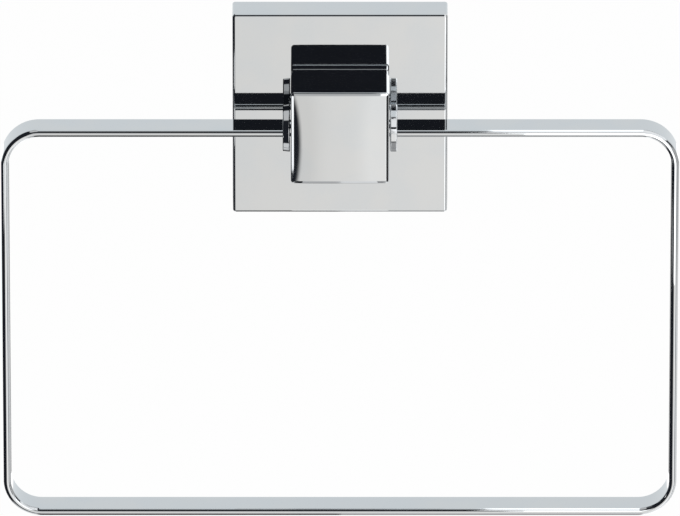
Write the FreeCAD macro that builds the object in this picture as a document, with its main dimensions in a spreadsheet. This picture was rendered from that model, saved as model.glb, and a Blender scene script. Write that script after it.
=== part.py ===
"""A towel ring: a flat strip bent to a rounded rectangle, swinging under a square post on a wall plate.

Lengths are in millimetres. The wall is the plane y = 0, the front faces -Y, +Z is up, and the origin is
the centre of the wall plate's back. The strip's top bar lies on the pivot axis, which runs along X.
"""
import FreeCAD, Part
import os
import Sketcher
from FreeCAD import Placement, Rotation, Vector

SIZES = [
    # Wall plate: a cast shell with drafted sides, open at the back
    ("plate_width", 50.3),  # front face, square
    ("plate_draft", 0.1),  # each side spreads by this much from front to back
    ("plate_depth", 7.7),
    ("plate_wall", 2.4),
    ("plate_corner_radius", 0.7),
    ("plate_edge_radius", 0.6),
    # Post: a cast block on a slightly smaller foot, which seats in a shallow recess of the plate
    ("post_width", 23.0),
    ("post_reach", 15.15),  # front face of the post, in front of the plate's face
    ("post_edge_radius", 0.6),
    ("foot_length", 3.0),  # the part of the foot that shows
    ("foot_inset", 0.25),
    ("foot_seat", 0.8),
    ("seat_clearance", 0.08),
    # Ring: a strip on edge, so that its thin side faces the front
    ("ring_width", 158.8),
    ("ring_height", 98.7),
    ("ring_corner_radius", 9.0),
    ("strip_depth", 7.8),
    ("strip_thickness", 1.75),
    ("strip_edge_radius", 0.6),
    ("pivot_reach", 8.0),  # pivot axis, in front of the plate's face
    ("pivot_drop", 0.25),  # pivot axis, below the plate's centre
    # Pivot hubs and their bushes
    ("hub_diameter", 11.3),
    ("hub_thickness", 1.7),
    ("hub_taper", 0.15),  # the disc's radius shrinks by this much away from the post
    ("hub_edge_chamfer", 0.3),
    ("hub_gap", 0.2),
    ("pin_diameter", 4.0),
    ("pin_length", 6.0),
    ("pin_clearance", 0.05),
    ("bush_wall", 1.0),
    ("bush_length", 6.6),
    ("bush_clearance", 0.02),
    ("bore_end_gap", 0.2),
    # Screw and spring washer that hold the post to the plate, from behind
    ("screw_diameter", 5.0),
    ("screw_length", 9.0),
    ("screw_head_diameter", 9.0),
    ("screw_head_height", 2.6),
    ("screw_head_chamfer", 0.8),
    ("screw_hole_diameter", 5.5),
    ("thread_clearance", 0.05),
    ("tapped_spare", 1.5),
    ("recess_span", 4.6),
    ("recess_width", 1.1),
    ("recess_depth", 1.5),
    ("washer_diameter", 9.2),
    ("washer_thickness", 1.0),
    ("washer_bore", 5.3),
    # Wall bracket: folded steel sheet, hooked by the plate's lip above and pressed by the grub screw below
    ("bracket_side_gap", 6.1),  # from the bracket's sides to the plate's inner walls
    ("bracket_top_gap", 0.3),  # from the upper flange's edge to the plate's inner wall
    ("bracket_boss_gap", 1.4),  # from the lower flange to the boss below it
    ("bracket_sheet", 1.5),
    ("bracket_bend_radius", 0.6),
    ("flange_reach", 4.8),
    ("flange_flare", 1.6),
    ("wall_screw_spacing", 25.0),
    ("slot_width", 4.6),
    ("slot_length", 7.0),
    ("access_hole_diameter", 12.0),
    # Hook lip at the plate's back, and the boss that the grub screw runs in
    ("lip_width", 28.0),
    ("lip_depth", 1.2),
    ("lip_height", 1.1),
    ("boss_width", 8.0),
    ("boss_height", 3.0),
    ("boss_back_gap", 1.2),
    ("grub_diameter", 4.0),
    ("grub_sink", 1.0),  # how far the screw's foot lies inside the plate's underside
    ("grub_tip_diameter", 2.4),
    ("grub_tip_length", 0.8),
    ("grub_socket_width", 2.0),
    ("grub_socket_depth", 2.2),
    ("grub_standoff", 3.9),  # grub screw axis, in front of the wall
]


class Size:
    """A length that knows its number and the sheet expression that gives it."""

    def __init__(self, number, text):
        self.number = number
        self.text = text

    def __add__(self, other):
        other = as_size(other)
        return Size(self.number + other.number, f"({self.text} + {other.text})")

    def __sub__(self, other):
        other = as_size(other)
        return Size(self.number - other.number, f"({self.text} - {other.text})")

    def __mul__(self, other):
        other = as_size(other)
        return Size(self.number * other.number, f"({self.text} * {other.text})")

    def __truediv__(self, other):
        other = as_size(other)
        return Size(self.number / other.number, f"({self.text} / {other.text})")

    def __neg__(self):
        return self * -1


def as_size(value):
    return value if isinstance(value, Size) else Size(value, str(value))


ZERO = as_size(0)
doc = FreeCAD.newDocument("towel_ring")
sheet = doc.addObject("Spreadsheet::Sheet", "sizes")
dims = {}
for row, (alias, length) in enumerate(SIZES, start=1):
    sheet.set(f"A{row}", alias.replace("_", " "))
    sheet.set(f"B{row}", str(length))
    sheet.setAlias(f"B{row}", alias)
    dims[alias] = Size(length, f"sizes.{alias}")
doc.recompute()


# Helpers for bodies, sketches and features


def bind(feature, path, size):
    feature.setExpression(path, size.text)


def new_body(label):
    body = doc.addObject("PartDesign::Body", label)
    body.Label = label
    return body


def new_sketch(body, role, height=ZERO):
    """A sketch on one of the body's origin planes, raised along that plane's normal."""
    sketch = body.newObject("Sketcher::SketchObject", "outline")
    plane = next(p for p in body.Origin.OriginFeatures if p.Role == role)
    sketch.AttachmentSupport = [(plane, "")]
    sketch.MapMode = "FlatFace"
    sketch.AttachmentOffset = Placement(Vector(0, 0, height.number), Rotation())
    bind(sketch, "AttachmentOffset.Base.z", height)
    return sketch


def hold_point(sketch, geometry, point_kind, point):
    """Fix a point of the sketch at its distances from the sketch's origin."""
    for kind, size in zip(("DistanceX", "DistanceY"), point):
        index = sketch.addConstraint(
            Sketcher.Constraint(kind, -1, 1, geometry, point_kind, size.number)
        )
        bind(sketch, f"Constraints[{index}]", size)


def add_polygon(sketch, points):
    points = [(as_size(across), as_size(up)) for across, up in points]
    corners = [Vector(across.number, up.number, 0) for across, up in points]
    first = sketch.GeometryCount
    count = len(points)
    for k in range(count):
        sketch.addGeometry(Part.LineSegment(corners[k], corners[(k + 1) % count]))
    for k in range(count):
        following = first + (k + 1) % count
        sketch.addConstraint(Sketcher.Constraint("Coincident", first + k, 2, following, 1))
    for k in range(count):
        hold_point(sketch, first + k, 1, points[k])


def add_rectangle(sketch, left, right, bottom, top):
    add_polygon(sketch, [(left, bottom), (right, bottom), (right, top), (left, top)])


def add_square(sketch, width):
    half = width / 2
    add_rectangle(sketch, -half, half, -half, half)


def add_circle(sketch, diameter, across=ZERO, up=ZERO):
    centre = Vector(across.number, up.number, 0)
    index = sketch.addGeometry(Part.Circle(centre, Vector(0, 0, 1), diameter.number / 2))
    hold_point(sketch, index, 3, (across, up))
    radius = sketch.addConstraint(Sketcher.Constraint("Radius", index, diameter.number / 2))
    bind(sketch, f"Constraints[{radius}]", diameter / 2)


def add_hexagon(sketch, width_across_flats, up):
    across_corners = width_across_flats * (2 / 3**0.5)
    half = across_corners / 2
    quarter = across_corners / 4
    flat = width_across_flats / 2
    add_polygon(
        sketch,
        [
            (half, up),
            (quarter, up + flat),
            (-quarter, up + flat),
            (-half, up),
            (-quarter, up - flat),
            (quarter, up - flat),
        ],
    )


def pad(body, sketch, length, midplane=False):
    feature = body.newObject("PartDesign::Pad", "pad")
    feature.Profile = sketch
    feature.Length = length.number
    bind(feature, "Length", length)
    if midplane:
        feature.SideType = "Symmetric"
    doc.recompute()
    return feature


def pocket(body, sketch, length, along_normal=False):
    """Cut against the sketch's normal, or along it; the cut has to take some of the solid away."""
    before = body.Shape.Volume
    feature = body.newObject("PartDesign::Pocket", "pocket")
    feature.Profile = sketch
    feature.Length = length.number
    feature.Reversed = along_normal
    bind(feature, "Length", length)
    doc.recompute()
    if not body.Shape.Volume < before:
        raise RuntimeError(f"a pocket of {body.Label} cuts nothing")
    return feature


def revolve(body, sketch, axis_role):
    feature = body.newObject("PartDesign::Revolution", "revolution")
    feature.Profile = sketch
    feature.ReferenceAxis = (sketch, [axis_role])
    feature.Angle = 360
    doc.recompute()
    return feature


def loft(body, first, second):
    feature = body.newObject("PartDesign::AdditiveLoft", "loft")
    feature.Profile = first
    feature.Sections = [second]
    feature.Ruled = True
    doc.recompute()
    return feature


def shell(body, wall, open_at):
    """Hollow the body, leaving it open at the faces that lie at one of these places along Y."""
    solid = body.Tip
    faces = solid.Shape.Faces
    places = [place.number for place in open_at]
    names = []
    for k, face in enumerate(faces, start=1):
        flat = face.BoundBox.YLength < 0.01
        if flat and any(abs(face.CenterOfMass.y - place) < 0.01 for place in places):
            names.append(f"Face{k}")
    feature = body.newObject("PartDesign::Thickness", "shell")
    feature.Base = (solid, names)
    feature.Value = wall.number
    feature.Reversed = True
    bind(feature, "Value", wall)
    doc.recompute()
    return feature


def fillet(body, radius, chosen):
    """Round the edges of the body for which chosen(edge) is true."""
    solid = body.Tip
    edges = solid.Shape.Edges
    names = [f"Edge{k + 1}" for k in range(len(edges)) if chosen(edges[k])]
    feature = body.newObject("PartDesign::Fillet", "fillet")
    feature.Base = (solid, names)
    feature.Radius = radius.number
    bind(feature, "Radius", radius)
    doc.recompute()
    return feature


def chamfer(body, width, chosen):
    """Cut the edges of the body for which chosen(edge) is true at 45 degrees."""
    solid = body.Tip
    edges = solid.Shape.Edges
    names = [f"Edge{k + 1}" for k in range(len(edges)) if chosen(edges[k])]
    feature = body.newObject("PartDesign::Chamfer", "chamfer")
    feature.Base = (solid, names)
    feature.Size = width.number
    bind(feature, "Size", width)
    doc.recompute()
    return feature


def mirror_across_yz(body, original):
    plane = next(p for p in body.Origin.OriginFeatures if p.Role == "YZ_Plane")
    feature = body.newObject("PartDesign::Mirrored", "mirrored")
    feature.Originals = [original]
    feature.MirrorPlane = (plane, [""])
    body.Tip = feature
    doc.recompute()
    return feature


def lies_at(edge, axis, place):
    """Whether the whole edge lies at this place along axis x, y or z."""
    near = 0.01
    box = edge.BoundBox
    low = getattr(box, axis.upper() + "Min")
    high = getattr(box, axis.upper() + "Max")
    return abs(low - place.number) < near and abs(high - place.number) < near


def runs_along(edge, axis):
    """Whether the edge is mostly a run along axis x, y or z."""
    box = edge.BoundBox
    return getattr(box, axis.upper() + "Length") > 0.9 * edge.Length


def place_body(body, y, z=ZERO, turn=0):
    """Set the body down at y and z, turned about the vertical."""
    body.Placement = Placement(Vector(0, y.number, z.number), Rotation(Vector(0, 0, 1), turn))
    bind(body, "Placement.Base.y", y)
    bind(body, "Placement.Base.z", z)


# Places worked out from the sizes

plate_face = dims["plate_depth"]
plate_inside = plate_face - dims["plate_wall"]
foot_back = plate_face - dims["foot_seat"]
post_shoulder = plate_face + dims["foot_length"]
post_front = plate_face + dims["post_reach"]
foot_width = dims["post_width"] - dims["foot_inset"] * 2
pivot_y = -(plate_face + dims["pivot_reach"])
pivot_z = -dims["pivot_drop"]
half_post = dims["post_width"] / 2
hub_inner = half_post + dims["hub_gap"]
hub_outer = hub_inner + dims["hub_thickness"]
half_strip = dims["strip_thickness"] / 2
half_ring = dims["ring_width"] / 2
ring_bottom = half_strip - dims["ring_height"]
bush_bore = dims["pin_diameter"] + dims["pin_clearance"] * 2
bush_diameter = bush_bore + dims["bush_wall"] * 2
cross_bore = bush_diameter + dims["bush_clearance"] * 2
tapped_diameter = dims["screw_diameter"] + dims["thread_clearance"] * 2
washer_back = plate_inside - dims["washer_thickness"]
screw_tip = washer_back + dims["screw_length"]


def plate_half_at(depth):
    """Half the plate's outer width at this depth in front of the wall."""
    half_back = dims["plate_width"] / 2 + dims["plate_draft"]
    return half_back - depth * dims["plate_draft"] / plate_face


def cavity_half_at(depth):
    return plate_half_at(depth) - dims["plate_wall"]


bracket_width = (cavity_half_at(ZERO) - dims["bracket_side_gap"]) * 2
flange_top = cavity_half_at(dims["flange_reach"]) - dims["bracket_top_gap"]
boss_top = dims["boss_height"] - cavity_half_at(plate_inside)
flange_bottom = boss_top + dims["bracket_boss_gap"]
grub_foot = dims["grub_sink"] - plate_half_at(dims["grub_standoff"])


# Wall plate

def make_wall_plate():
    body = new_body("wall_plate")
    back = new_sketch(body, "XZ_Plane")
    add_square(back, plate_half_at(ZERO) * 2)
    front = new_sketch(body, "XZ_Plane", plate_face)
    add_square(front, dims["plate_width"])
    loft(body, back, front)
    shell(body, dims["plate_wall"], [ZERO])

    # Lip that hooks behind the bracket's upper flange
    lip = new_sketch(body, "XZ_Plane")
    half_lip = dims["lip_width"] / 2
    inner_top = cavity_half_at(ZERO)
    in_wall = inner_top + dims["plate_wall"] / 2
    add_rectangle(lip, -half_lip, half_lip, inner_top - dims["lip_height"], in_wall)
    pad(body, lip, dims["lip_depth"])

    # Boss for the grub screw, from the inside of the face to just short of the wall
    boss = new_sketch(body, "XZ_Plane", dims["boss_back_gap"])
    half_boss = dims["boss_width"] / 2
    add_rectangle(boss, -half_boss, half_boss, -in_wall, boss_top)
    pad(body, boss, plate_face - dims["boss_back_gap"] - dims["plate_wall"] / 2)

    # Recess for the post's foot, and the screw hole through its floor
    recess = new_sketch(body, "XZ_Plane", plate_face)
    add_square(recess, foot_width + dims["seat_clearance"] * 2)
    pocket(body, recess, dims["foot_seat"])
    hole = new_sketch(body, "XZ_Plane", plate_face)
    add_circle(hole, dims["screw_hole_diameter"])
    pocket(body, hole, plate_face)

    # Tapped hole for the grub screw, up through the bottom wall and the boss
    tapped = new_sketch(body, "XY_Plane")
    add_circle(tapped, dims["grub_diameter"] + dims["thread_clearance"] * 2, ZERO, -dims["grub_standoff"])
    pocket(body, tapped, plate_half_at(ZERO))

    half_back = plate_half_at(ZERO).number
    half_front = plate_half_at(plate_face).number

    def outer_corner(edge):
        box = edge.BoundBox
        outside = min(abs(box.Center.x), abs(box.Center.z)) > half_front - 0.01
        return outside and runs_along(edge, "y") and box.YLength > 0.9 * plate_face.number

    def front_rim(edge):
        box = edge.BoundBox
        farthest = max(abs(box.XMin), abs(box.XMax), abs(box.ZMin), abs(box.ZMax))
        return lies_at(edge, "y", -plate_face) and half_front - 0.2 < farthest < half_back

    fillet(body, dims["plate_corner_radius"], outer_corner)
    fillet(body, dims["plate_edge_radius"], front_rim)
    return body


# Post

def make_post():
    body = new_body("post")
    foot = new_sketch(body, "XZ_Plane", foot_back)
    add_square(foot, foot_width)
    pad(body, foot, dims["foot_seat"] + dims["foot_length"])
    block = new_sketch(body, "XZ_Plane", post_shoulder)
    add_square(block, dims["post_width"])
    pad(body, block, post_front - post_shoulder)

    def block_edge(edge):
        box = edge.BoundBox
        farthest = max(abs(box.XMin), abs(box.XMax), abs(box.ZMin), abs(box.ZMax))
        outside = farthest > half_post.number - 0.01
        return outside and not lies_at(edge, "y", -post_shoulder)

    fillet(body, dims["post_edge_radius"], block_edge)

    tapped = new_sketch(body, "XZ_Plane", foot_back)
    add_circle(tapped, tapped_diameter)
    pocket(body, tapped, screw_tip - foot_back + dims["tapped_spare"], along_normal=True)

    bore = new_sketch(body, "YZ_Plane", half_post)
    add_circle(bore, cross_bore, pivot_y, pivot_z)
    right_bore = pocket(body, bore, dims["bush_length"] + dims["bore_end_gap"])
    mirror_across_yz(body, right_bore)
    return body


# Ring

def make_ring():
    body = new_body("ring")
    outline = new_sketch(body, "XZ_Plane")
    add_rectangle(outline, -half_ring, half_ring, ring_bottom, half_strip)
    pad(body, outline, dims["strip_depth"], midplane=True)
    fillet(body, dims["ring_corner_radius"], lambda edge: runs_along(edge, "y"))
    half_depth = dims["strip_depth"] / 2
    shell(body, dims["strip_thickness"], [-half_depth, half_depth])

    # The top bar is open between the hubs
    gap = new_sketch(body, "XZ_Plane", half_depth)
    add_rectangle(gap, -hub_outer, hub_outer, -dims["strip_thickness"], dims["strip_thickness"])
    pocket(body, gap, dims["strip_depth"])

    def long_edge(edge):
        along = edge.BoundBox.YLength < 0.01
        at_end = abs(abs(edge.CenterOfMass.x) - hub_outer.number) < 0.01
        return along and not at_end

    fillet(body, dims["strip_edge_radius"], long_edge)
    place_body(body, pivot_y, pivot_z)
    return body


# Hubs and bushes, the left one turned half round from the right one

def make_hub(label, turn):
    body = new_body(label)
    profile = new_sketch(body, "XY_Plane")
    pin_end = hub_inner - dims["pin_length"]
    pin_radius = dims["pin_diameter"] / 2
    hub_radius = dims["hub_diameter"] / 2
    add_polygon(
        profile,
        [
            (pin_end, ZERO),
            (hub_outer, ZERO),
            (hub_outer, hub_radius - dims["hub_taper"]),
            (hub_inner, hub_radius),
            (hub_inner, pin_radius),
            (pin_end, pin_radius),
        ],
    )
    revolve(body, profile, "H_Axis")
    narrow = (hub_radius - dims["hub_taper"]).number

    def disc_rim(edge):
        return edge.BoundBox.XLength < 0.01 and edge.BoundBox.ZMax > narrow - 0.01

    chamfer(body, dims["hub_edge_chamfer"], disc_rim)
    place_body(body, pivot_y, pivot_z, turn)
    return body


def make_bush(label, turn):
    body = new_body(label)
    section = new_sketch(body, "YZ_Plane", half_post - dims["bush_length"])
    add_circle(section, bush_diameter)
    add_circle(section, bush_bore)
    pad(body, section, dims["bush_length"])
    place_body(body, pivot_y, pivot_z, turn)
    return body


# Screw and washer behind the post

def make_post_screw():
    body = new_body("post_screw")
    profile = new_sketch(body, "XY_Plane")
    shank = dims["screw_diameter"] / 2
    head = dims["screw_head_diameter"] / 2
    head_back = -(washer_back - dims["screw_head_height"])
    under_head = -washer_back
    tip = -screw_tip
    add_polygon(
        profile,
        [
            (ZERO, head_back),
            (ZERO, tip),
            (shank, tip),
            (shank, under_head),
            (head, under_head),
            (head, head_back),
        ],
    )
    revolve(body, profile, "V_Axis")
    chamfer(body, dims["screw_head_chamfer"], lambda edge: lies_at(edge, "y", head_back))
    half_span = dims["recess_span"] / 2
    half_width = dims["recess_width"] / 2
    for across, up in ((half_span, half_width), (half_width, half_span)):
        slot = new_sketch(body, "XZ_Plane", -head_back)
        add_rectangle(slot, -across, across, -up, up)
        pocket(body, slot, dims["recess_depth"], along_normal=True)
    return body


def make_post_washer():
    body = new_body("post_washer")
    section = new_sketch(body, "XZ_Plane", washer_back)
    add_circle(section, dims["washer_diameter"])
    add_circle(section, dims["washer_bore"])
    pad(body, section, dims["washer_thickness"])
    return body


# Wall bracket and the grub screw that locks the plate to it

def make_wall_bracket():
    body = new_body("wall_bracket")
    fold = new_sketch(body, "YZ_Plane")
    sheet_thickness = dims["bracket_sheet"]
    reach = -dims["flange_reach"]
    bottom = flange_bottom
    top = flange_top - dims["flange_flare"]
    add_polygon(
        fold,
        [
            (ZERO, bottom),
            (ZERO, top),
            (reach, flange_top),
            (reach, flange_top - sheet_thickness),
            (-sheet_thickness, top - sheet_thickness),
            (-sheet_thickness, bottom + sheet_thickness),
            (reach, bottom + sheet_thickness),
            (reach, bottom),
        ],
    )
    pad(body, fold, bracket_width, midplane=True)

    def inner_bend(edge):
        return runs_along(edge, "x") and lies_at(edge, "y", -sheet_thickness)

    def outer_bend(edge):
        return runs_along(edge, "x") and lies_at(edge, "y", ZERO)

    fillet(body, dims["bracket_bend_radius"], inner_bend)
    fillet(body, dims["bracket_bend_radius"] + sheet_thickness, outer_bend)

    access = new_sketch(body, "XZ_Plane", sheet_thickness)
    add_circle(access, dims["access_hole_diameter"])
    pocket(body, access, sheet_thickness)

    # A slot is two round ends and the straight stretch between their centres
    half_spacing = dims["wall_screw_spacing"] / 2
    half_travel = (dims["slot_length"] - dims["slot_width"]) / 2
    half_width = dims["slot_width"] / 2
    for side in (-1, 1):
        centre = half_spacing * side
        for end in (-half_travel, half_travel):
            round_end = new_sketch(body, "XZ_Plane", sheet_thickness)
            add_circle(round_end, dims["slot_width"], ZERO, centre + end)
            pocket(body, round_end, sheet_thickness)
        middle = new_sketch(body, "XZ_Plane", sheet_thickness)
        add_rectangle(middle, -half_width, half_width, centre - half_travel, centre + half_travel)
        pocket(body, middle, sheet_thickness)
    return body


def make_grub_screw():
    body = new_body("grub_screw")
    profile = new_sketch(body, "XZ_Plane")
    radius = dims["grub_diameter"] / 2
    tip_radius = dims["grub_tip_diameter"] / 2
    shoulder = flange_bottom - dims["grub_tip_length"]
    add_polygon(
        profile,
        [
            (ZERO, grub_foot),
            (radius, grub_foot),
            (radius, shoulder),
            (tip_radius, flange_bottom),
            (ZERO, flange_bottom),
        ],
    )
    revolve(body, profile, "V_Axis")
    socket = new_sketch(body, "XY_Plane", grub_foot)
    add_hexagon(socket, dims["grub_socket_width"], ZERO)
    pocket(body, socket, dims["grub_socket_depth"], along_normal=True)
    place_body(body, -dims["grub_standoff"])
    return body


parts = [
    make_wall_plate(),
    make_post(),
    make_ring(),
    make_hub("left_hub", 180),
    make_hub("right_hub", 0),
    make_bush("left_bush", 180),
    make_bush("right_bush", 0),
    make_post_screw(),
    make_post_washer(),
    make_wall_bracket(),
    make_grub_screw(),
]

doc.recompute()
for item in doc.Objects:
    if "Invalid" in item.State or "Error" in item.State:
        raise RuntimeError(f"{item.Label} failed: {item.State}")
for body in parts:
    if body.Shape.isNull() or not body.Shape.isValid():
        raise RuntimeError(f"{body.Label} has no valid shape")

os.makedirs("parts", exist_ok=True)
for body in parts:
    body.Shape.exportStep(f"parts/{body.Label}.step")
    print(body.Label, round(body.Shape.Volume, 1), "mm3", len(body.Shape.Solids), "solid")
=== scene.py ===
"""The look of the towel ring: chrome pieces, hidden fixings, studio and camera."""

import math

import bpy
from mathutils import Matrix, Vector


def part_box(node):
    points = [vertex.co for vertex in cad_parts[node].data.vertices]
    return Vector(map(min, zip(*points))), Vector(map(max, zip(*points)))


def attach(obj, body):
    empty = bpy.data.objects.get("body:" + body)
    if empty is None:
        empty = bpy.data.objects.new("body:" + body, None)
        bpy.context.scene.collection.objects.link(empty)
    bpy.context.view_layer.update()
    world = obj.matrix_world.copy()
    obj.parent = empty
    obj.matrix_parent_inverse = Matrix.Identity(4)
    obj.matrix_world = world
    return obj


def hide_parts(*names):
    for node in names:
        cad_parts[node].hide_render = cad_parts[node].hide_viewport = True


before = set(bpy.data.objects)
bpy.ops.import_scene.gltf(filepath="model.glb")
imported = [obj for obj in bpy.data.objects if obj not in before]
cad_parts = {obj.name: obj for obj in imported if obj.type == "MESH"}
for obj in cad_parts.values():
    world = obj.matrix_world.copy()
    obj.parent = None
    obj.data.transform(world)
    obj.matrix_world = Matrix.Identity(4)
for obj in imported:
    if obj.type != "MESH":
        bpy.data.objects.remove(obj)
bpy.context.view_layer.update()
MM = 0.001


# Node helpers

# Sockets of a Mix node that mixes colours
MIX_FIRST, MIX_SECOND, MIX_RESULT = 6, 7, 2


class Shader:
    """Adds nodes to one material's or world's tree and links them."""

    def __init__(self, owner):
        owner.use_nodes = True
        self.tree = owner.node_tree
        self.tree.nodes.clear()

    def node(self, kind, **settings):
        made = self.tree.nodes.new("ShaderNode" + kind)
        for name, value in settings.items():
            setattr(made, name, value)
        return made

    def feed(self, socket, value):
        if isinstance(value, bpy.types.NodeSocket):
            self.tree.links.new(value, socket)
        else:
            socket.default_value = value

    def math(self, operation, first, second=0.0):
        made = self.node("Math", operation=operation)
        self.feed(made.inputs[0], first)
        self.feed(made.inputs[1], second)
        return made.outputs[0]

    def ramp(self, value, start, end, low=0.0, high=1.0):
        """low up to start, high from end on, and a smooth step between."""
        made = self.node("MapRange", interpolation_type="SMOOTHSTEP")
        self.feed(made.inputs["Value"], value)
        if start > end:
            start, end, low, high = end, start, high, low
        self.feed(made.inputs["From Min"], start)
        self.feed(made.inputs["From Max"], end)
        self.feed(made.inputs["To Min"], low)
        self.feed(made.inputs["To Max"], high)
        return made.outputs["Result"]

    def window(self, value, start, end, soft):
        """1 between start and end, 0 outside, with soft edges."""
        rising = self.ramp(value, start - soft, start + soft)
        falling = self.ramp(value, end + soft, end - soft)
        return self.math("MULTIPLY", rising, falling)

    def mix(self, factor, first, second):
        made = self.node("Mix", data_type="RGBA")
        self.feed(made.inputs["Factor"], factor)
        self.feed(made.inputs[MIX_FIRST], first)
        self.feed(made.inputs[MIX_SECOND], second)
        return made.outputs[MIX_RESULT]

    def noise(self, coordinates, scale, detail, stretch=(1.0, 1.0, 1.0)):
        mapping = self.node("Mapping")
        mapping.inputs["Scale"].default_value = stretch
        self.feed(mapping.inputs["Vector"], coordinates)
        made = self.node("TexNoise")
        self.feed(made.inputs["Vector"], mapping.outputs[0])
        made.inputs["Scale"].default_value = scale
        made.inputs["Detail"].default_value = detail
        return made.outputs["Fac"]

    def bump(self, height, distance, strength, under=None):
        made = self.node("Bump")
        made.inputs["Distance"].default_value = distance
        made.inputs["Strength"].default_value = strength
        self.feed(made.inputs["Height"], height)
        if under is not None:
            self.feed(made.inputs["Normal"], under)
        return made.outputs["Normal"]


def grey(level):
    return (level, level, level, 1.0)


# Materials


def start_material(name, metallic):
    """A new material with its tree, its shader and the coordinates that its pattern follows."""
    material = bpy.data.materials.new(name)
    sh = Shader(material)
    shader = sh.node("BsdfPrincipled")
    shader.inputs["Metallic"].default_value = metallic
    output = sh.node("OutputMaterial")
    sh.feed(output.inputs["Surface"], shader.outputs[0])
    return material, sh, shader, sh.node("TexCoord").outputs["Object"]


def chrome_material():
    """Bright plated metal: faint polishing waves, a soft haze, hairline scratches."""
    material, sh, shader, here = start_material("polished_chrome", metallic=1.0)
    haze = sh.noise(here, scale=90.0, detail=3.0)
    hairlines = sh.noise(here, scale=900.0, detail=2.0, stretch=(1.0, 6.0, 0.35))
    waves = sh.noise(here, scale=45.0, detail=1.0)
    warm, cool = (0.60, 0.612, 0.62, 1), (0.582, 0.603, 0.62, 1)
    sh.feed(shader.inputs["Base Color"], sh.mix(sh.ramp(haze, 0.35, 0.65), warm, cool))
    sh.feed(shader.inputs["Roughness"], sh.ramp(haze, 0.3, 0.75, low=0.02, high=0.05))
    wavy = sh.bump(waves, distance=0.0003, strength=0.012)
    scratched = sh.bump(hairlines, distance=0.00002, strength=0.02, under=wavy)
    sh.feed(shader.inputs["Normal"], scratched)
    return material


def zinc_material():
    """Zinc-plated steel: dull silver, slightly clouded, with fine rolling marks."""
    material, sh, shader, here = start_material("zinc_plated_steel", metallic=1.0)
    clouds = sh.noise(here, scale=160.0, detail=4.0)
    rolled = sh.noise(here, scale=1200.0, detail=3.0, stretch=(1.0, 1.0, 0.12))
    pale, blue = (0.60, 0.61, 0.60, 1), (0.50, 0.54, 0.58, 1)
    sh.feed(shader.inputs["Base Color"], sh.mix(sh.ramp(clouds, 0.3, 0.7), pale, blue))
    sh.feed(shader.inputs["Roughness"], sh.ramp(clouds, 0.25, 0.75, low=0.24, high=0.42))
    sh.feed(shader.inputs["Normal"], sh.bump(rolled, distance=0.00005, strength=0.25))
    return material


def nylon_material():
    """Natural white nylon: milky, faintly mottled, with a moulded surface."""
    material, sh, shader, here = start_material("bush_nylon", metallic=0.0)
    mottle = sh.noise(here, scale=300.0, detail=3.0)
    deep, milky = (0.80, 0.79, 0.74, 1), (0.88, 0.88, 0.84, 1)
    sh.feed(shader.inputs["Base Color"], sh.mix(mottle, deep, milky))
    sh.feed(shader.inputs["Roughness"], sh.ramp(mottle, 0.2, 0.8, low=0.38, high=0.55))
    sh.feed(shader.inputs["Normal"], sh.bump(mottle, distance=0.00005, strength=0.2))
    return material


chrome = chrome_material()
zinc = zinc_material()
nylon = nylon_material()


# Mesh helpers


def arc(start, end, steps):
    """Unit directions from one angle in degrees to another, with both ends."""
    angles = [math.radians(start + (end - start) * k / steps) for k in range(steps + 1)]
    return [(math.cos(angle), math.sin(angle)) for angle in angles]


def new_piece(name, verts, faces, body, node, material, normals):
    """A piece from lengths in mm, with its own normals, on its body; node is what it stands for."""
    mesh = bpy.data.meshes.new(name)
    mesh.from_pydata([tuple(c * MM for c in v) for v in verts], [], faces)
    mesh.materials.append(material)
    mesh.polygons.foreach_set("use_smooth", [True] * len(mesh.polygons))
    mesh.update()
    mesh.normals_split_custom_set_from_vertices([tuple(n) for n in normals])
    piece = bpy.data.objects.new(name, mesh)
    bpy.context.scene.collection.objects.link(piece)
    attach(piece, body)
    if node:
        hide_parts(node)
    return piece


# Lengths in mm, read off a piece's box where it gives them

AXIS_Y = sum(corner.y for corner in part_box("left_hub")) / 2 / MM
AXIS_Z = sum(corner.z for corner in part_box("left_hub")) / 2 / MM
HUB_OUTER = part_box("right_hub")[1].x / MM
HUB_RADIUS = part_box("right_hub")[1].z / MM - AXIS_Z
POST_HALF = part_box("post")[1].x / MM
POST_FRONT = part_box("post")[0].y / MM
PLATE_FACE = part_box("wall_plate")[0].y / MM

STRIP = 1.75  # thickness of the strip
STRIP_EDGE = 0.8  # radius of its edges
STRIP_DISH = 2.0  # degrees by which its front face looks inwards
RING_CORNER = 9.0  # outer radius of the ring's corners

HUB_THICK = 1.7
HUB_RIM = 0.3  # radius of the disc's edges
PIN_RADIUS = 2.0
PIN_END = 7.7  # from the disc's outer face
PIN_CHAMFER = 0.4

CROWN = 0.25  # how far the post's front bulges
CROWN_MIDDLE = -1.5  # height of its highest point
CROWN_FADE = 0.33  # share by which the bulge fades towards top and bottom
POST_CORNER = 0.8
POST_RIM = [(0, 0.06), (16, 0.5), (20, 0.4), (90, 0)]  # bends: degrees, length
FOOT_LENGTH = 3.0
FOOT_INSET = 0.25
FOOT_CORNER = 0.45
FOOT_IN_POST = 0.4
FOOT_IN_PLATE = 0.75
COVE = 0.12  # radius at the foot's joint with the plate
FINE = 0.02  # a chamfer or overlap too small to see

EDGE_STEPS = 8
BEND_STEPS = 6
CORNER_STEPS = 30
BAR_STEPS = 12
HALF_BAR_STEPS = 8
AROUND_HUB = 96


# The ring: one strip bent on edge, with soft edges


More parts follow.
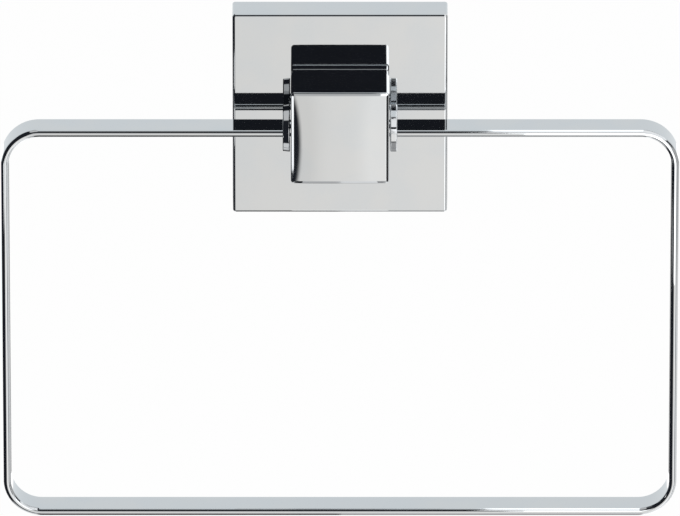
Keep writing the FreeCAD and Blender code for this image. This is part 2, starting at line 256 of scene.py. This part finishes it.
def strip_section(half_depth):
    """Points (outward, along y) and normals around the strip's section."""
    reach = STRIP / 2 - STRIP_EDGE
    depth = half_depth - STRIP_EDGE
    inner_depth = depth - 2 * math.tan(math.radians(STRIP_DISH)) * reach
    corners = [
        (reach, depth, 0, 90),
        (-reach, depth, 90, 180),
        (-reach, -inner_depth, 180, 270 - STRIP_DISH),
        (reach, -depth, 270 - STRIP_DISH, 360),
    ]
    points = []
    for out, along, start, end in corners:
        for n_out, n_along in arc(start, end, EDGE_STEPS):
            point = (out + STRIP_EDGE * n_out, along + STRIP_EDGE * n_along)
            points.append(point + (n_out, n_along))
    return points


def strip_path():
    """Places along the strip's middle line with its outward direction: (x, z, out_x, out_z)."""
    low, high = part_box("ring")
    middle = RING_CORNER - STRIP / 2
    half = high.x / MM - RING_CORNER
    top, bottom = high.z / MM - RING_CORNER, low.z / MM + RING_CORNER
    path = [(HUB_OUTER, top + middle, 0.0, 1.0)]

    def bar(x, z, steps):
        """Places on a straight line from the path's end to x, z, without both."""
        start_x, start_z, out_x, out_z = path[-1]
        for k in range(1, steps):
            share = k / steps
            place = (start_x + (x - start_x) * share, start_z + (z - start_z) * share)
            path.append(place + (out_x, out_z))

    corners = [
        (half, top, 90, HALF_BAR_STEPS),
        (half, bottom, 0, BAR_STEPS),
        (-half, bottom, -90, BAR_STEPS),
        (-half, top, -180, BAR_STEPS),
    ]
    for cx, cz, angle, steps in corners:
        bend = [
            (cx + middle * ox, cz + middle * oz, ox, oz)
            for ox, oz in arc(angle, angle - 90, CORNER_STEPS)
        ]
        bar(*bend[0][:2], steps)
        path += bend
    bar(-HUB_OUTER, top + middle, HALF_BAR_STEPS)
    path.append((-HUB_OUTER, top + middle, 0.0, 1.0))
    return path


def make_ring():
    low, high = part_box("ring")
    middle_y = (low.y + high.y) / 2 / MM
    section = strip_section((high.y - low.y) / 2 / MM)
    count = len(section)
    path = strip_path()
    verts, normals, faces = [], [], []
    for x, z, ox, oz in path:
        for out, along, n_out, n_along in section:
            verts.append((x + ox * out, middle_y + along, z + oz * out))
            normals.append((ox * n_out, n_along, oz * n_out))
    for k in range(len(path) - 1):
        for j in range(count):
            a, b = k * count + j, k * count + (j + 1) % count
            faces.append((a, a + count, b + count, b))
    # The strip's ends on the hubs
    for (x, z, _, oz), facing in ((path[0], -1), (path[-1], 1)):
        base = len(verts)
        for out, along, _, _ in section:
            verts.append((x, middle_y + along, z + oz * out))
            normals.append((float(facing), 0.0, 0.0))
        faces.append(tuple(range(base, base + count))[::-facing])
    new_piece(
        "ring_strip", verts, faces, "swinging_ring", "ring", chrome, normals
    )


# The hubs: a disc with a rolled rim and the pin that turns in the post


def hub_profile(taper):
    """Points from the outer face's middle to the pin's end: (x inwards, radius) and normals."""
    narrow = HUB_RADIUS - HUB_THICK * math.tan(math.radians(taper))
    flat_radii = (0.0, 2.0, 4.0, narrow - HUB_RIM - 0.1)
    points = [(0.0, radius, -1.0, 0.0) for radius in flat_radii]
    edges = (
        (HUB_RIM, narrow - HUB_RIM, 180, 90 + taper),
        (HUB_THICK - HUB_RIM, HUB_RADIUS - HUB_RIM - 0.03, 90 + taper, 0),
    )
    for cx, radius, start, end in edges:
        for nx, nr in arc(start, end, EDGE_STEPS):
            points.append((cx + HUB_RIM * nx, radius + HUB_RIM * nr, nx, nr))
    shoulder, tip = PIN_END - PIN_CHAMFER, PIN_RADIUS - PIN_CHAMFER
    points += [(HUB_THICK, PIN_RADIUS, 1.0, 0.0), (HUB_THICK, PIN_RADIUS, 0.0, 1.0)]
    points += [(shoulder, PIN_RADIUS, 0.0, 1.0), (shoulder, PIN_RADIUS, 0.7, 0.7)]
    points += [(PIN_END, tip, 0.7, 0.7), (PIN_END, tip, 1.0, 0.0), (PIN_END, 0.0, 1.0, 0.0)]
    return points


def make_hub(name, node, side, taper):
    """side is 1 for the hub at +X; its outer face carries the strip, its pin points inwards."""
    profile = hub_profile(taper)
    verts, normals, faces = [], [], []
    for x, radius, nx, nr in profile:
        for k in range(AROUND_HUB):
            angle = 2 * math.pi * k / AROUND_HUB
            c, s = math.cos(angle), math.sin(angle)
            verts.append((side * (HUB_OUTER - x), AXIS_Y + radius * c, AXIS_Z + radius * s))
            normals.append((-side * nx, nr * c, nr * s))
    for j in range(len(profile) - 1):
        if profile[j][:2] == profile[j + 1][:2]:
            continue
        for k in range(AROUND_HUB):
            a, b = j * AROUND_HUB + k, j * AROUND_HUB + (k + 1) % AROUND_HUB
            quad = (a, b, b + AROUND_HUB, a + AROUND_HUB)
            faces.append(quad if side < 0 else quad[::-1])
    new_piece(name, verts, faces, "swinging_ring", node, chrome, normals)


# The post: a block with a softly crowned front on a slightly smaller foot


def spaced(half):
    """Places from -half to half that crowd together towards the ends."""
    share = [0.0, 0.15, 0.3, 0.45, 0.57, 0.67, 0.75, 0.82, 0.88, 0.93, 0.97, 1.0]
    positive = [half * s for s in share]
    return [-p for p in reversed(positive[1:])] + positive


def crown(x, z):
    """How far the front face stands proud at x, z, and its slopes along x and z."""
    u, w = min(1.0, abs(x) / POST_HALF), (z - CROWN_MIDDLE) / POST_HALF
    across, upright = 1 - u**4, 1 - CROWN_FADE * w**2
    slope_x = -CROWN * 4 * u**3 / POST_HALF * upright * math.copysign(1.0, x)
    slope_z = -CROWN * 2 * CROWN_FADE * w / POST_HALF * across
    return CROWN * across * upright, slope_x, slope_z


def flat(x, z):
    return 0.0, 0.0, 0.0


def walk(bends):
    """Profile points (inset, y, normal outward, normal along y) along bends."""
    inset = y = 0.0
    first = math.radians(bends[0][0])
    points = [(inset, y, math.sin(first), -math.cos(first))]
    for (start, length), (end, _) in zip(bends, bends[1:]):
        for k in range(1, BEND_STEPS + 1):
            angle = math.radians(start + (end - start) * k / BEND_STEPS)
            middle = math.radians(start + (end - start) * (k - 0.5) / BEND_STEPS)
            inset -= math.cos(middle) * length / BEND_STEPS
            y += math.sin(middle) * length / BEND_STEPS
            points.append((inset, y, math.sin(angle), -math.cos(angle)))
    return points


def square_outline(half, corner):
    """Centres and outward directions around a square with round corners."""
    places = spaced(half - corner)
    around = []
    for turn, (c, s) in enumerate(((1, 0), (0, 1), (-1, 0), (0, -1))):
        for t in places:
            cx, cz = (half - corner) * c - t * s, (half - corner) * s + t * c
            around.append((cx, cz, float(c), float(s)))
        cx, cz = (half - corner) * (c - s), (half - corner) * (s + c)
        for nx, nz in arc(90 * turn, 90 * turn + 90, BEND_STEPS)[1:-1]:
            around.append((cx, cz, nx, nz))
    return around


def square_block(name, half, corner, profile, bulge):
    """A square block whose walls follow the profile; bulge(x, z) raises its front face."""
    verts, normals, faces = [], [], []
    found = {}

    def vertex(place, normal):
        rise, slope_x, slope_z = bulge(place[0], place[2])
        if normal[1] >= 0:
            rise = slope_x = slope_z = 0.0
        key = tuple(round(c, 4) for c in place + normal)
        if key not in found:
            found[key] = len(verts)
            verts.append((place[0], place[1] - rise, place[2]))
            nx, ny, nz = normal
            # Edges that run across keep their own slope, so their lines stay straight
            if abs(nz) > 0.01:
                slope_z = 0.0
            bent = Vector((nx + slope_x * ny, ny, nz + slope_z * ny))
            normals.append(tuple(bent.normalized()))
        return found[key]

    def add(*ring):
        ring = list(dict.fromkeys(ring))
        if len(ring) > 2:
            faces.append(tuple(ring))

    around = square_outline(half, corner)
    count = len(around)
    rings = []
    for inset, y, out, ahead in profile:
        rings.append(
            [
                vertex(
                    (cx + (corner - inset) * nx, y, cz + (corner - inset) * nz),
                    (nx * out, ahead, nz * out),
                )
                for cx, cz, nx, nz in around
            ]
        )
    for first, second in zip(rings, rings[1:]):
        for k in range(count):
            following = (k + 1) % count
            add(first[k], second[k], second[following], first[following])
    if profile[0][0] == corner:
        # The profile starts at the corners' centres: a grid of cells closes the front
        front = profile[0][1]
        places = spaced(half - corner)
        for i in range(len(places) - 1):
            for j in range(len(places) - 1):
                spots = ((i, j), (i + 1, j), (i + 1, j + 1), (i, j + 1))
                add(*(vertex((places[a], front, places[b]), (0.0, -1.0, 0.0)) for a, b in spots))
    else:
        add(*rings[0])
    add(*rings[-1][::-1])
    return new_piece(
        name, verts, faces, "wall_fitting", None, chrome, normals
    )


def make_post():
    shoulder = PLATE_FACE - FOOT_LENGTH
    front = POST_FRONT + CROWN
    # From the crowned face over a fine bevel and a rounded edge to the side wall
    rim = walk(POST_RIM)
    start = -rim[-1][0]
    walls = [(POST_CORNER, front, 0.0, -1.0)]
    walls += [(start + inset, front + y, out, ahead) for inset, y, out, ahead in rim]
    walls += [(0.0, shoulder - FINE, 1.0, 0.0), (FINE, shoulder, 0.7, 0.7)]
    walls += [(FINE, shoulder, 0.0, 1.0)]
    block = square_block("post_block", POST_HALF, POST_CORNER, walls, crown)
    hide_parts("post")
    # The foot ends in a small cove where it meets the plate
    top = shoulder - FOOT_IN_POST
    walls = [(0.0, top, 0.0, -1.0), (0.0, top, 1.0, 0.0)]
    for out, ahead in arc(0, 90, BEND_STEPS):
        walls.append((COVE * (out - 1), PLATE_FACE - COVE * (1 - ahead), out, -ahead))
    walls += [(-COVE, PLATE_FACE + FINE, 0.0, 1.0), (0.0, PLATE_FACE + FINE, 1.0, 0.0)]
    end = PLATE_FACE + FOOT_IN_PLATE
    walls += [(0.0, end, 1.0, 0.0), (0.0, end, 0.0, 1.0)]
    square_block("post_foot", POST_HALF - FOOT_INSET, FOOT_CORNER, walls, flat)


make_ring()
make_hub("hub_left", "left_hub", side=-1, taper=6.0)
make_hub("hub_right", "right_hub", side=1, taper=1.5)
make_post()


# The CAD pieces that stay: finish, and shading that keeps flats flat and rounds round

SOFT_ANGLE = math.radians(32)
WELD_DISTANCE = 0.000001
FINISH = {
    "wall_plate": chrome,
    "wall_bracket": zinc,
    "post_screw": zinc,
    "post_washer": zinc,
    "grub_screw": zinc,
    "left_bush": nylon,
    "right_bush": nylon,
}


def smooth_group():
    """Nodes that shade a mesh smooth except across edges of SOFT_ANGLE or more."""
    group = bpy.data.node_groups.new("smooth_by_angle", "GeometryNodeTree")
    group.interface.new_socket("Geometry", in_out="INPUT", socket_type="NodeSocketGeometry")
    group.interface.new_socket("Geometry", in_out="OUTPUT", socket_type="NodeSocketGeometry")
    start = group.nodes.new("NodeGroupInput")
    end = group.nodes.new("NodeGroupOutput")
    faces = group.nodes.new("GeometryNodeSetShadeSmooth")
    faces.domain = "FACE"
    faces.inputs["Shade Smooth"].default_value = True
    edges = group.nodes.new("GeometryNodeSetShadeSmooth")
    edges.domain = "EDGE"
    angle = group.nodes.new("GeometryNodeInputMeshEdgeAngle")
    soft = group.nodes.new("FunctionNodeCompare")
    soft.operation = "LESS_THAN"
    soft.inputs[1].default_value = SOFT_ANGLE
    link = group.links.new
    link(start.outputs[0], faces.inputs["Geometry"])
    link(faces.outputs[0], edges.inputs["Geometry"])
    link(angle.outputs["Unsigned Angle"], soft.inputs[0])
    link(soft.outputs[0], edges.inputs["Shade Smooth"])
    link(edges.outputs[0], end.inputs[0])
    return group


smooth = smooth_group()
for name, material in FINISH.items():
    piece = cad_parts[name]
    piece.data.materials.clear()
    piece.data.materials.append(material)
    weld = piece.modifiers.new("weld", "WELD")
    weld.merge_threshold = WELD_DISTANCE
    shade = piece.modifiers.new("smooth", "NODES")
    shade.node_group = smooth
    weighted = piece.modifiers.new("weighted", "WEIGHTED_NORMAL")
    weighted.keep_sharp = True


# Studio: the room as the metal sees it, the soft lamps and the floor

DARK = (0.018, 0.02, 0.026, 1)
PAPER = (0.905, 0.945, 0.967, 1)
CARD_LEFT = (0.975, 0.96, 0.935, 1)
CARD_RIGHT = (1.21, 1.19, 1.16, 1)
ROOM_LIGHT = grey(0.72)  # what falls on dull surfaces
WHITE = grey(1.0)

# Name, centre, the point that it faces, width and height in metres, radiance
LAMPS = [
    ("top_softbox", (0.48, -0.265, 0.50), (0.48, -0.265, 0.0), 0.88, 1.43, 1.25),
    ("front_softbox", (0.295, -0.60, 0.065), (0.295, 0.0, 0.065), 0.50, 0.24, 1.25),
    ("low_softbox", (0.070, -0.15, -0.0575), (0.070, 0.0, -0.0575), 0.05, 0.075, 1.5),
    ("under_card", (0.0, -0.054, -0.063), (0.0, -0.0228, -0.0115), 0.023, 0.03, 0.65),
    ("left_strip", (-0.120, -0.139, -0.0645), (-0.0115, -0.022, -0.0145), 0.05, 0.022, 1.6),
    ("ground_card", (0.45, 0.09, -0.39), (0.45, 0.09, 0.0), 0.90, 0.84, 0.42),
]

FLOOR_HEIGHT = -0.42
FLOOR_HALF = 4
FLOOR_GLOW = 0.97  # share of plain white that the camera sees in the floor


def studio_world():
    """A dark room with white paper behind the object, and cards and a softbox around it."""
    world = bpy.data.worlds.new("studio")
    bpy.context.scene.world = world
    sh = Shader(world)
    apart = sh.node("SeparateXYZ")
    sh.feed(apart.inputs[0], sh.node("TexCoord").outputs["Generated"])
    x, y, z = apart.outputs
    front = sh.math("MULTIPLY", y, -1.0)
    # Degrees: turn is 0 straight out from the wall, positive to the right, 180 behind the wall.
    # rise is the height above the horizon, and lift the same as seen from the side
    turn = sh.math("DEGREES", sh.math("ARCTAN2", x, front))
    side = sh.math("ABSOLUTE", turn)
    rise = sh.math("DEGREES", sh.math("ARCSINE", z))
    lift = sh.math("DEGREES", sh.math("ARCTAN2", z, front))
    lean = sh.math("ABSOLUTE", x)
    card = sh.mix(sh.ramp(turn, -2.5, 2.5), CARD_LEFT, CARD_RIGHT)
    low_sides = sh.math("MULTIPLY", sh.ramp(lean, 0.06, 0.10), sh.ramp(rise, -52, -58))
    # Each patch lies over those before it
    patches = [
        # White paper behind and above the object, a little blue
        (sh.ramp(side, 100, 125), sh.window(rise, -17, 34, 2), PAPER),
        (sh.ramp(lean, 0.12, 0.08), sh.window(lift, 78, 150, 3), PAPER),
        # Bright cards low down behind it, with a dim gap in the middle
        (sh.ramp(side, 152, 156), sh.window(rise, -60, -17, 2), grey(1.45)),
        (sh.ramp(side, 176, 177), sh.window(rise, -60, -17, 2), grey(0.25)),
        # Grey wall on the right
        (sh.window(turn, 52, 146, 4), sh.window(rise, -60, 12, 4), grey(0.55)),
        # Grey card in front, and the big card below it, brighter to the right
        (sh.window(turn, -8, 50, 1), sh.window(rise, -5, 17, 1), grey(0.68)),
        (sh.window(turn, -5.3, 50, 1), sh.window(rise, -46, -5, 3), card),
        # Tall softbox on the right, with a dark gap
        (sh.window(turn, 10, 60, 3), sh.window(rise, -50, 22, 4), grey(1.5)),
        (sh.window(turn, 35, 54, 1), sh.window(rise, -50, 22, 4), grey(0.04)),
        # Pale ceiling on the left and pale ground on both sides
        (sh.window(x, -0.34, -0.07, 0.02), sh.window(lift, 61, 133, 4), grey(0.75)),
        (low_sides, sh.window(lift, -150, -58, 4), grey(0.92)),
    ]
    level = DARK
    for first, second, colour in patches:
        level = sh.mix(sh.math("MULTIPLY", first, second), level, colour)
    path = sh.node("LightPath")
    shiny = sh.math("MAXIMUM", path.outputs["Is Glossy Ray"], path.outputs["Is Transmission Ray"])
    seen = sh.mix(shiny, ROOM_LIGHT, level)
    seen = sh.mix(path.outputs["Is Camera Ray"], seen, WHITE)
    background = sh.node("Background")
    sh.feed(background.inputs["Color"], seen)
    output = sh.node("OutputWorld")
    sh.feed(output.inputs["Surface"], background.outputs[0])


def lamp(name, centre, target, width, height, radiance):
    """A soft rectangular lamp whose face has that radiance."""
    data = bpy.data.lights.new(name, "AREA")
    data.shape = "RECTANGLE"
    data.size = width
    data.size_y = height
    data.energy = radiance * math.pi * width * height
    made = bpy.data.objects.new(name, data)
    bpy.context.scene.collection.objects.link(made)
    made.location = centre
    made.rotation_mode = "QUATERNION"
    made.rotation_quaternion = (Vector(target) - Vector(centre)).to_track_quat("-Z", "Y")


def make_floor():
    """A pale floor below the picture, which the metal doesn't mirror."""
    mesh = bpy.data.meshes.new("floor")
    corners = ((-1, -1), (1, -1), (1, 1), (-1, 1))
    verts = [(FLOOR_HALF * x, FLOOR_HALF * y, FLOOR_HEIGHT) for x, y in corners]
    mesh.from_pydata(verts, [], [(0, 1, 2, 3)])
    floor = bpy.data.objects.new("floor", mesh)
    bpy.context.scene.collection.objects.link(floor)
    material = bpy.data.materials.new("pale_floor")
    sh = Shader(material)
    path = sh.node("LightPath")
    grain = sh.noise(sh.node("TexCoord").outputs["Object"], scale=30.0, detail=3.0)
    paper = sh.node("BsdfDiffuse")
    sh.feed(paper.inputs["Color"], sh.mix(grain, grey(0.80), grey(0.82)))
    glow = sh.node("Emission")
    glow.inputs["Color"].default_value = WHITE
    both = sh.node("MixShader")
    seen = sh.math("MAXIMUM", path.outputs["Is Camera Ray"], path.outputs["Is Transmission Ray"])
    sh.feed(both.inputs[0], sh.math("MULTIPLY", seen, FLOOR_GLOW))
    sh.feed(both.inputs[1], paper.outputs[0])
    sh.feed(both.inputs[2], glow.outputs[0])
    output = sh.node("OutputMaterial")
    sh.feed(output.inputs["Surface"], both.outputs[0])
    mesh.materials.append(material)
    floor.visible_glossy = False


studio_world()
for settings in LAMPS:
    lamp(*settings)
make_floor()


# Camera: the photograph's viewing angle

PITCH = math.radians(23.3)
DISTANCE = 4.0
AIM = Vector((0.0, -0.014, -0.03412))


def make_camera():
    data = bpy.data.cameras.new("camera")
    data.lens = 901.0
    data.sensor_width = 36.0
    data.clip_start = 0.05
    data.clip_end = 20.0
    camera = bpy.data.objects.new("camera", data)
    bpy.context.scene.collection.objects.link(camera)
    camera.location = AIM + DISTANCE * Vector((0.0, -math.cos(PITCH), math.sin(PITCH)))
    camera.rotation_mode = "QUATERNION"
    camera.rotation_quaternion = (AIM - camera.location).to_track_quat("-Z", "Y")
    bpy.context.scene.camera = camera


make_camera()
bpy.context.scene.view_settings.view_transform = "Standard"
